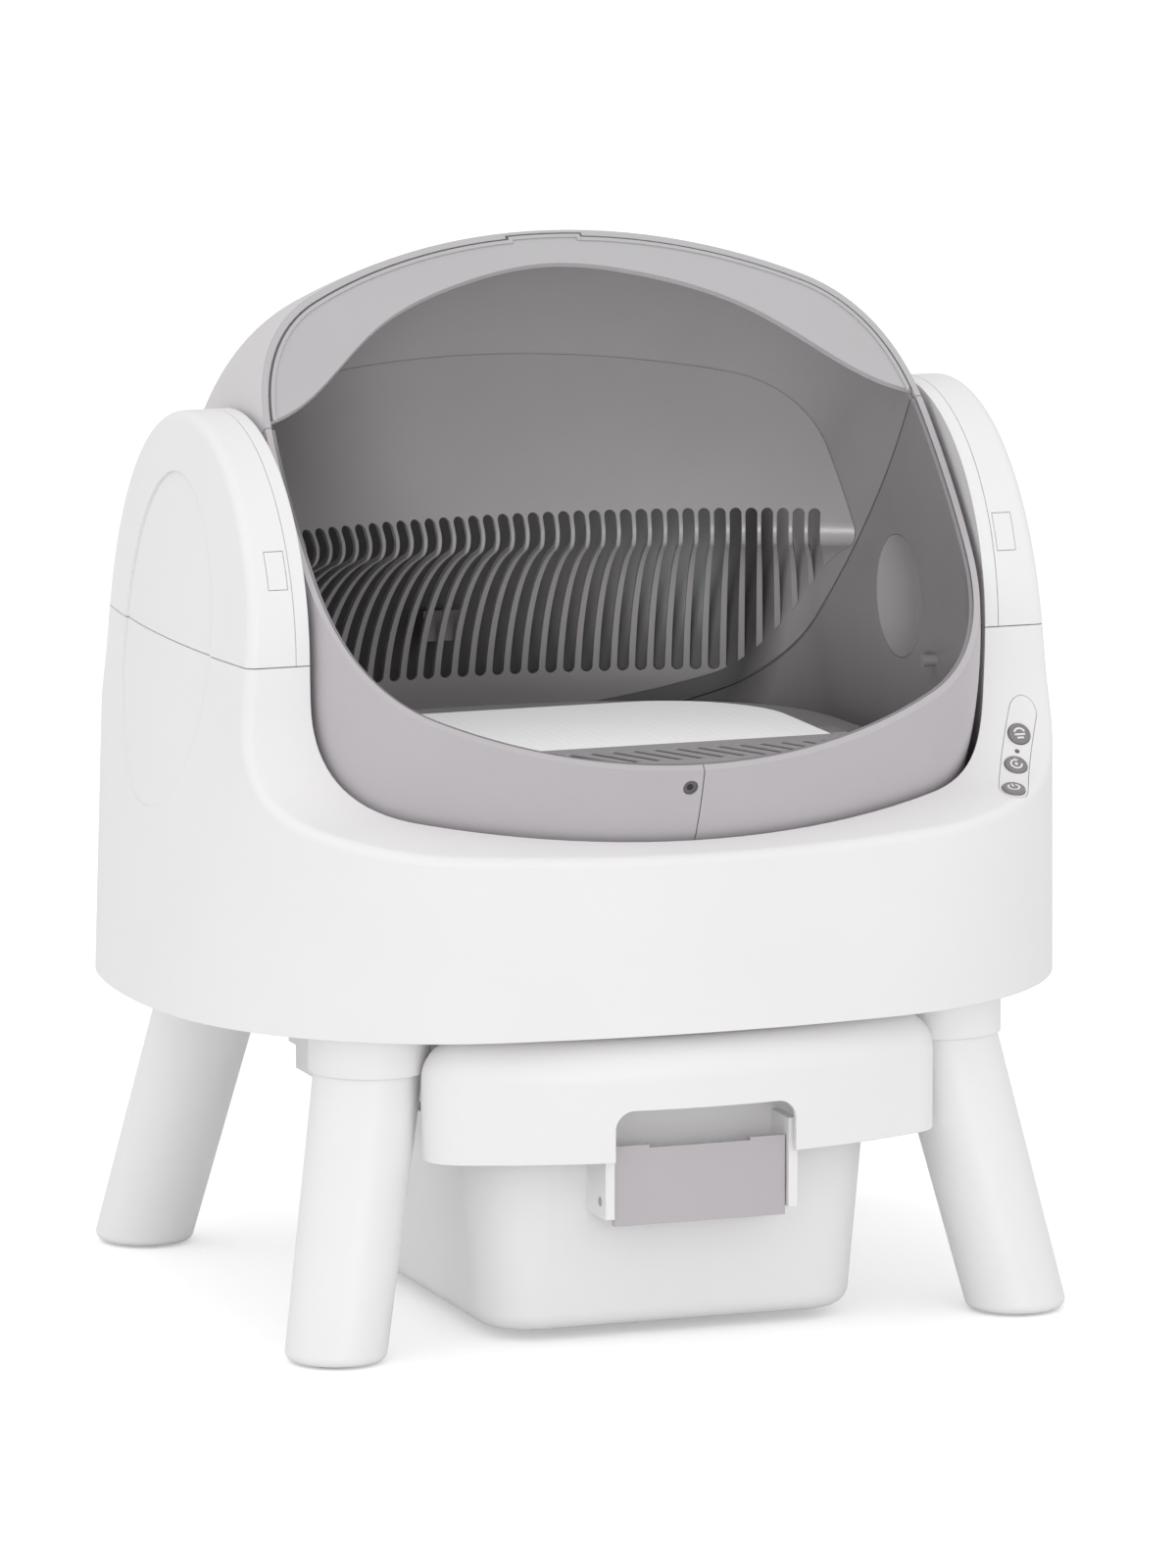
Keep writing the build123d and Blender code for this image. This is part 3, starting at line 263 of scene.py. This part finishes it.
# Natural acetal of the gears and bushes: waxy, slightly yellow, smooth.
acetal = moulded(
    "natural_acetal",
    "#EFEBE0",
    "#E8E3D6",
    roughness=0.32,
    grain_mm=2.2,
    depth_mm=0.01,
    Subsurface_Weight=0.1,
)

# Black glass-filled nylon of the gear motor and the inlet: dull, with the glass showing as a rough grain.
motor_nylon = moulded("black_glass_nylon", "#26262A", "#1D1D20", roughness=0.5, grain_mm=1.2, depth_mm=0.05)


# Other finishes
def press_cap():
    """Button caps: grey ABS under a clear coat, with a fine grain that breaks up the highlight."""
    cloud_mm = 6
    grain_mm = 0.8
    grain_depth = 0.02 * mm
    material, tree, shader, place = new_material(
        "button_abs_coated", IOR=1.5, Roughness=0.36, Coat_Weight=0.4, Coat_Roughness=0.12
    )
    cloud = add_node(
        tree,
        "ShaderNodeTexNoise",
        {"Vector": place, "Scale": per_metre(cloud_mm), "Detail": 3.0},
    )
    shade = add_node(
        tree,
        "ShaderNodeMix",
        {"Factor": cloud.outputs["Fac"], mix_first: srgb("#8C878A"), mix_second: srgb("#827D80")},
        data_type="RGBA",
    )
    tree.links.new(shade.outputs[mix_result], shader.inputs["Base Color"])
    grain = add_node(
        tree,
        "ShaderNodeTexNoise",
        {"Vector": place, "Scale": per_metre(grain_mm), "Detail": 2.0},
    )
    bump = add_node(tree, "ShaderNodeBump", {"Height": grain.outputs["Fac"], "Distance": grain_depth})
    tree.links.new(bump.outputs["Normal"], shader.inputs["Normal"])
    return material


def rubber(name, light, dark):
    """Moulded rubber of the foot pads and the seam beads: matt, with a blotchy bloom."""
    bloom_mm = 5
    bloom_depth = 0.1 * mm
    material, tree, shader, place = new_material(name, IOR=1.52, Roughness=0.8)
    bloom = add_node(
        tree,
        "ShaderNodeTexNoise",
        {"Vector": place, "Scale": per_metre(bloom_mm), "Detail": 5.0},
    )
    shade = add_node(
        tree,
        "ShaderNodeMix",
        {"Factor": bloom.outputs["Fac"], mix_first: srgb(light), mix_second: srgb(dark)},
        data_type="RGBA",
    )
    tree.links.new(shade.outputs[mix_result], shader.inputs["Base Color"])
    bump = add_node(
        tree,
        "ShaderNodeBump",
        {"Height": bloom.outputs["Fac"], "Distance": bloom_depth, "Strength": 0.4},
    )
    tree.links.new(bump.outputs["Normal"], shader.inputs["Normal"])
    return material


def turned_steel(name, colour):
    """Bare steel of the pin, and a darker grey steel for the screw, with the lines that the lathe leaves.

    The wave draws about three lines in the length given. Real ones are closer and would not show.
    """
    three_lines_mm = 1.5
    line_depth = 0.02 * mm
    material, tree, shader, place = new_material(name, Base_Color=srgb(colour), Metallic=1.0)
    lines = add_node(
        tree,
        "ShaderNodeTexWave",
        {"Vector": place, "Scale": per_metre(three_lines_mm), "Distortion": 1.0},
    )
    gloss = add_node(
        tree,
        "ShaderNodeMapRange",
        {"Value": lines.outputs["Fac"], "To Min": 0.22, "To Max": 0.36},
    )
    tree.links.new(gloss.outputs["Result"], shader.inputs["Roughness"])
    bump = add_node(tree, "ShaderNodeBump", {"Height": lines.outputs["Fac"], "Distance": line_depth})
    tree.links.new(bump.outputs["Normal"], shader.inputs["Normal"])
    return material


def board_laminate():
    """Green solder mask over glass cloth, with the weave just showing through."""
    weave_mm = 1.2
    weave_depth = 0.03 * mm
    material, tree, shader, place = new_material("board_laminate", IOR=1.5, Roughness=0.35)
    weave = add_node(
        tree,
        "ShaderNodeTexChecker",
        {
            "Vector": place,
            "Scale": per_metre(weave_mm),
            "Color1": srgb("#1F6B3C"),
            "Color2": srgb("#1A6036"),
        },
    )
    tree.links.new(weave.outputs["Color"], shader.inputs["Base Color"])
    bump = add_node(tree, "ShaderNodeBump", {"Height": weave.outputs["Fac"], "Distance": weave_depth})
    tree.links.new(bump.outputs["Normal"], shader.inputs["Normal"])
    return material


def lamp_lens():
    """Smoked acrylic of the indicator: clear and glossy, dark while it is off."""
    haze_mm = 0.7
    material, tree, shader, place = new_material("smoked_acrylic", IOR=1.49, Roughness=0.2, Coat_Weight=0.5)
    haze = add_node(tree, "ShaderNodeTexNoise", {"Vector": place, "Scale": per_metre(haze_mm)})
    shade = add_node(
        tree,
        "ShaderNodeMix",
        {"Factor": haze.outputs["Fac"], mix_first: srgb("#5B5A5E"), mix_second: srgb("#6B6A6E")},
        data_type="RGBA",
    )
    tree.links.new(shade.outputs[mix_result], shader.inputs["Base Color"])
    return material


def mat_silicone():
    """White silicone of the floor mat: matt, with a fine field of raised dots."""
    dot_spacing_mm = 7
    dot_height = 0.6 * mm
    material, tree, shader, place = new_material("mat_silicone", IOR=1.43, Roughness=0.6)
    dots = add_node(
        tree,
        "ShaderNodeTexVoronoi",
        {"Vector": place, "Scale": per_metre(dot_spacing_mm), "Randomness": 0.0},
        distance="EUCLIDEAN",
    )
    shade = add_node(
        tree,
        "ShaderNodeMix",
        {"Factor": dots.outputs["Distance"], mix_first: srgb("#FAFAFA"), mix_second: srgb("#F0F0F1")},
        data_type="RGBA",
    )
    tree.links.new(shade.outputs[mix_result], shader.inputs["Base Color"])
    bump = add_node(
        tree,
        "ShaderNodeBump",
        {"Height": dots.outputs["Distance"], "Distance": dot_height, "Strength": 0.6},
        invert=True,
    )
    tree.links.new(bump.outputs["Normal"], shader.inputs["Normal"])
    return material


def print_ink():
    """White pad-printing ink of the button marks: flat, slightly uneven."""
    cover_mm = 0.9
    material, tree, shader, place = new_material("white_print_ink", IOR=1.5, Roughness=0.55)
    cover = add_node(
        tree,
        "ShaderNodeTexNoise",
        {"Vector": place, "Scale": per_metre(cover_mm), "Detail": 2.0},
    )
    shade = add_node(
        tree,
        "ShaderNodeMix",
        {"Factor": cover.outputs["Fac"], mix_first: srgb("#F6F6F6"), mix_second: srgb("#E9E9E9")},
        data_type="RGBA",
    )
    tree.links.new(shade.outputs[mix_result], shader.inputs["Base Color"])
    return material


# Finishes by the record's slots, and the pieces that differ from their slot
finish_of_slot = {
    "white_plastic": white_abs,
    "mauve_plastic": mauve_abs,
    "dark_plastic": bowl_pp,
    "button_plastic": press_cap(),
    "acetal": acetal,
    "motor_plastic": motor_nylon,
    "board_laminate": board_laminate(),
    "lamp_plastic": lamp_lens(),
    "soft_rubber": rubber("pad_rubber", "#9A9A9C", "#868688"),
    "steel": turned_steel("turned_steel", "#A8A8AB"),
}
finish_of_node = {
    "visor": visor_abs,
    "dome": dome_abs,
    "dome_liner": dome_pp,
    "step_grille": step_pp,
    "rear_sieve": sieve_pp,
    "floor_tray": sieve_pp,
    "mat_clips": sieve_pp,
    "sieve_latch": latch_pp,
    "trunnion_left": dish_pp,
    "trunnion_right": dish_pp,
    "floor_mat": mat_silicone(),
    "front_screw": turned_steel("dark_grey_steel", "#77757A"),
}
for part in frame["record"]["subparts"]:
    name = part["node"]
    finish = finish_of_node.get(name, finish_of_slot[part["material_slot"]])
    nodes[name].data.materials.clear()
    nodes[name].data.materials.append(finish)
mark_ink = print_ink()
bead_rubber = rubber("bead_rubber", "#6A686A", "#5E5C5E")

# Making pieces
merge_distance = 0.002 * mm


def new_piece(name, bm, material, body):
    """Turns a bmesh into a piece that rides on a body."""
    bmesh.ops.remove_doubles(bm, verts=bm.verts, dist=merge_distance)
    bmesh.ops.recalc_face_normals(bm, faces=bm.faces)
    mesh = bpy.data.meshes.new(name)
    bm.to_mesh(mesh)
    bm.free()
    mesh.materials.append(material)
    piece = bpy.data.objects.new(name, mesh)
    bpy.context.scene.collection.objects.link(piece)
    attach(piece, body)


def copy_of_node(node):
    """A merged copy of a CAD node's mesh, to cut a strip of trim from."""
    bm = bmesh.new()
    bm.from_mesh(nodes[node].data)
    bmesh.ops.remove_doubles(bm, verts=bm.verts, dist=merge_distance)
    return bm


def raised_points(bm):
    """Extrudes all faces in place and gives the points of the new side, to be moved off."""
    raised = bmesh.ops.extrude_face_region(bm, geom=bm.faces[:])
    return [item for item in raised["geom"] if isinstance(item, bmesh.types.BMVert)]


def raise_plate(bm, lift):
    """Gives a flat outline its thickness."""
    bmesh.ops.translate(bm, vec=lift, verts=raised_points(bm))


def cap_frame(node, outward):
    """The frame on a round node's outer face: x across the part, z along the outward axis."""
    up_the_face = outward.cross(across)
    points = [vertex.co for vertex in nodes[node].data.vertices]
    ends = []
    for axis in (across, up_the_face, outward):
        along = [point.dot(axis) for point in points]
        ends.append((min(along), max(along)))
    centre = across * sum(ends[0]) / 2 + up_the_face * sum(ends[1]) / 2 + outward * ends[2][1]
    turn = Matrix((across, up_the_face, outward)).transposed().to_4x4()
    return Matrix.Translation(centre) @ turn


# Printed marks on the buttons
ink_thickness = 0.12 * mm
stroke = 1.25 * mm
mark_radius = 3.5 * mm
arc_steps = 28
bar_foot = 0.6 * mm
bar_overshoot = 0.7 * mm
arrow_length = 2.3 * mm
arrow_width = 3.4 * mm
arrow_tip = 0.02 * mm
dot_radius = 1.1 * mm
long_line_drop = 0.6 * mm
short_line_drop = 2.9 * mm
short_line_reach = 2.2 * mm


def ink_band(bm, radius, width, start, sweep):
    """A flat arc of ink, from a start angle through a sweep, in degrees anticlockwise from the right."""
    direction = Vector((cos(radians(start)), sin(radians(start)), 0))
    inner = bm.verts.new(direction * (radius - width / 2))
    outer = bm.verts.new(direction * (radius + width / 2))
    edge = bm.edges.new((inner, outer))
    bmesh.ops.spin(
        bm,
        geom=[inner, outer, edge],
        cent=(0, 0, 0),
        axis=(0, 0, 1),
        dvec=(0, 0, 0),
        angle=radians(sweep),
        steps=arc_steps,
        use_merge=False,
    )


def ink_bar(bm, start, end, start_width=stroke, end_width=stroke):
    """A flat stroke of ink that may taper, as an arrow head does."""
    first = Vector((*start, 0))
    last = Vector((*end, 0))
    along = last - first
    side = Vector((-along.y, along.x, 0)).normalized()
    corners = [
        first - side * start_width / 2,
        last - side * end_width / 2,
        last + side * end_width / 2,
        first + side * start_width / 2,
    ]
    bm.faces.new([bm.verts.new(corner) for corner in corners])


def power_mark(bm):
    """A broken ring and a bar."""
    ink_band(bm, mark_radius, stroke, start=125, sweep=290)
    ink_bar(bm, (0, bar_foot), (0, mark_radius + bar_overshoot))


def turn_mark(bm):
    """A ring with an arrow head, and a dot."""
    ink_band(bm, mark_radius, stroke, start=70, sweep=290)
    ink_bar(bm, (0, mark_radius), (arrow_length, mark_radius), arrow_width, arrow_tip)
    ink_band(bm, dot_radius / 2, dot_radius, start=0, sweep=360)


def level_mark(bm):
    """Two level lines under an arch."""
    ink_band(bm, mark_radius, stroke, start=20, sweep=140)
    ink_bar(bm, (-mark_radius, -long_line_drop), (mark_radius, -long_line_drop))
    ink_bar(bm, (-short_line_reach, -short_line_drop), (short_line_reach, -short_line_drop))


marks = {"button_clean": level_mark, "button_level": turn_mark, "button_power": power_mark}
for button, draw in marks.items():
    bm = bmesh.new()
    draw(bm)
    raise_plate(bm, (0, 0, ink_thickness))
    outward = -Vector(joints[f"{button}_press"]["axis"])
    bmesh.ops.transform(bm, matrix=cap_frame(button, outward), verts=bm.verts)
    new_piece(f"{button}_mark", bm, mark_ink, button)

# Six-sided drive of the screw in the bowl's front, drawn as a thin black plate: painted shade of the socket
drive_radius = 2.3 * mm
drive_sides = 6
drive_thickness = 0.12 * mm
bm = bmesh.new()
bmesh.ops.create_circle(bm, cap_ends=True, segments=drive_sides, radius=drive_radius)
raise_plate(bm, (0, 0, drive_thickness))
screw_low, screw_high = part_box("front_screw")
outward = (screw_low + screw_high) / 2 - pivot
outward.x = 0
bmesh.ops.transform(bm, matrix=cap_frame("front_screw", outward.normalized()), verts=bm.verts)
new_piece("front_screw_drive_shadow", bm, motor_nylon, "drum")

# Trim along the seams round the visor and between the two liners
bead_width = 1.1 * mm
bead_height = 0.3 * mm
lip_width = 2.6 * mm
lip_height = 0.8 * mm
liner_bead_height = 0.15 * mm
same_facing = 0.999
same_level = 0.05 * mm
cut_edge_facing = 0.9


def inset_ring(bm, plate, width):
    """Insets a plate and gives the faces of the ring round it."""
    inset = bmesh.ops.inset_region(bm, faces=plate, thickness=width, use_boundary=True, use_even_offset=True)
    return inset["faces"]


def rim_strip(name, start, width, height, material):
    """A raised strip on the visor's front face, at one distance from its outer edge."""
    bm = copy_of_node("visor")
    others = []
    for face in bm.faces:
        off_level = abs(face.verts[0].co.dot(rim_facing) - rim_level)
        if face.normal.dot(rim_facing) < same_facing or off_level > same_level:
            others.append(face)
    bmesh.ops.delete(bm, geom=others, context="FACES")
    bmesh.ops.dissolve_faces(bm, faces=bm.faces[:])
    plate = bm.faces[:]
    if start > 0:
        bmesh.ops.delete(bm, geom=inset_ring(bm, plate, start), context="FACES")
    ring = inset_ring(bm, plate, width)
    spare = list(plate)
    for face in ring:
        rim = [edge for edge in face.edges if edge.is_boundary]
        middle_of_rim = (rim[0].verts[0].co + rim[0].verts[1].co) / 2
        if (middle_of_rim - face.calc_center_median()).dot(middle_of_rim - pivot) < 0:
            spare.append(face)
    bmesh.ops.delete(bm, geom=spare, context="FACES")
    raise_plate(bm, rim_facing * height)
    new_piece(name, bm, material, "drum")


def liner_bead():
    """A thin dark strip on the dome liner's inner face, along its lower edge."""
    bm = copy_of_node("dome_liner")
    edge_level = min(vert.co.dot(rim_upward) for vert in bm.verts)
    bmesh.ops.bisect_plane(
        bm,
        geom=bm.verts[:] + bm.edges[:] + bm.faces[:],
        plane_co=rim_upward * (edge_level + bead_width),
        plane_no=rim_upward,
        clear_outer=True,
    )
    outside = []
    for face in bm.faces:
        inward = pivot - face.calc_center_median()
        if face.normal.dot(inward) <= 0 or abs(face.normal.dot(rim_upward)) > cut_edge_facing:
            outside.append(face)
    bmesh.ops.delete(bm, geom=outside, context="FACES")
    for vert in raised_points(bm):
        vert.co += (pivot - vert.co).normalized() * liner_bead_height
    new_piece("liner_bead", bm, bead_rubber, "drum")


rim_strip("visor_bead", 0, bead_width, bead_height, bead_rubber)
rim_strip("visor_lip", bead_width, lip_width, lip_height, visor_abs)
liner_bead()

# Stage: a wide pale floor that fills the view
floor_size = 60.0
floor_parts = 8
floor_glow = 0.36
fibre_mm = 400


def pale_floor():
    """Matt white paper, with a faint fibre drawn in broad patches and a glow that lifts it to white."""
    material, tree, shader, place = new_material(
        "paper_floor", Roughness=0.9, Emission_Color=srgb("#FFFFFF")
    )
    fibre = add_node(
        tree,
        "ShaderNodeTexNoise",
        {"Vector": place, "Scale": per_metre(fibre_mm), "Detail": 2.0},
    )
    shade = add_node(
        tree,
        "ShaderNodeMix",
        {"Factor": fibre.outputs["Fac"], mix_first: srgb("#F1F1F1"), mix_second: srgb("#EDEDED")},
        data_type="RGBA",
    )
    tree.links.new(shade.outputs[mix_result], shader.inputs["Base Color"])
    seen = add_node(tree, "ShaderNodeLightPath").outputs["Is Camera Ray"]
    glow = add_node(tree, "ShaderNodeMath", {0: seen, 1: floor_glow}, operation="MULTIPLY")
    tree.links.new(glow.outputs["Value"], shader.inputs["Emission Strength"])
    bm = bmesh.new()
    bmesh.ops.create_grid(bm, x_segments=floor_parts, y_segments=floor_parts, size=floor_size / 2)
    mesh = bpy.data.meshes.new("floor")
    bm.to_mesh(mesh)
    bm.free()
    mesh.materials.append(material)
    floor = bpy.data.objects.new("floor", mesh)
    bpy.context.scene.collection.objects.link(floor)


pale_floor()

# Light: a white room, one softbox for the sheen, and two more that light only the inside of the drum
bright_side = Vector((-0.7, -0.5, 0.6)).normalized()
room_dark = 0.6
room_bright = 1.05
middle = (cad_low + cad_high) / 2
drum_walls = ("bowl_liner", "dome_liner", "rear_sieve", "sieve_latch", "trunnion_left", "trunnion_right")
drum_floor = ("floor_tray", "floor_mat", "mat_clips", "step_grille")


def white_room():
    """World light, brightest to the left, in front and above, that falls off smoothly to the other side."""
    world = bpy.data.worlds.new("white_room")
    bpy.context.scene.world = world
    world.use_nodes = True
    tree = world.node_tree
    background = tree.nodes["Background"]
    background.inputs["Color"].default_value = srgb("#FFFFFF")
    heading = add_node(tree, "ShaderNodeTexCoord").outputs["Generated"]
    facing = add_node(tree, "ShaderNodeVectorMath", {0: heading, 1: bright_side}, operation="DOT_PRODUCT")
    glow = add_node(
        tree,
        "ShaderNodeMapRange",
        {"Value": facing.outputs["Value"], "From Min": -1.0, "To Min": room_dark, "To Max": room_bright},
    )
    tree.links.new(glow.outputs["Result"], background.inputs["Strength"])


def softbox(name, place, size, watts):
    """A square area light at a place, facing the middle of the part."""
    light = bpy.data.lights.new(name, "AREA")
    light.size = size
    light.energy = watts
    lamp = bpy.data.objects.new(name, light)
    lamp.location = place
    lamp.rotation_euler = (middle - Vector(place)).to_track_quat("-Z", "Y").to_euler()
    bpy.context.scene.collection.objects.link(lamp)
    return lamp


def fill(name, place, size, watts, receivers):
    """A softbox that lights only the named nodes."""
    lit = bpy.data.collections.new(name)
    for node in receivers:
        lit.objects.link(nodes[node])
    softbox(name, place, size, watts).light_linking.receiver_collection = lit


white_room()
softbox("key", place=(-0.3, -4.6, 0.9), size=1.4, watts=18)
fill("wall_fill", place=(-1.5, -2.9, 0.4), size=0.75, watts=95, receivers=drum_walls)
fill("floor_fill", place=(-0.4, -2.8, 1.75), size=1.6, watts=110, receivers=drum_floor)
bpy.context.scene.view_settings.view_transform = "Standard"

# Camera: a long lens from the front left, a little above, framed as the photograph is
view_azimuth = radians(-20.0)
view_elevation = radians(9.72)
view_distance = 7.402
view_lens = 270.0
view_reach = 200.0
view_target = Vector((0, 0, 0.330))
frame_right = 9.0 * mm
frame_down = 15.1 * mm
back = Vector(
    (sin(view_azimuth) * cos(view_elevation), -cos(view_azimuth) * cos(view_elevation), sin(view_elevation))
)
right = Vector((cos(view_azimuth), sin(view_azimuth), 0))
camera_data = bpy.data.cameras.new("camera")
camera_data.lens = view_lens
camera_data.clip_end = view_reach
camera = bpy.data.objects.new("camera", camera_data)
camera.location = view_target + back * view_distance + right * frame_right - back.cross(right) * frame_down
camera.rotation_euler = (-back).to_track_quat("-Z", "Y").to_euler()
bpy.context.scene.collection.objects.link(camera)
bpy.context.scene.camera = camera
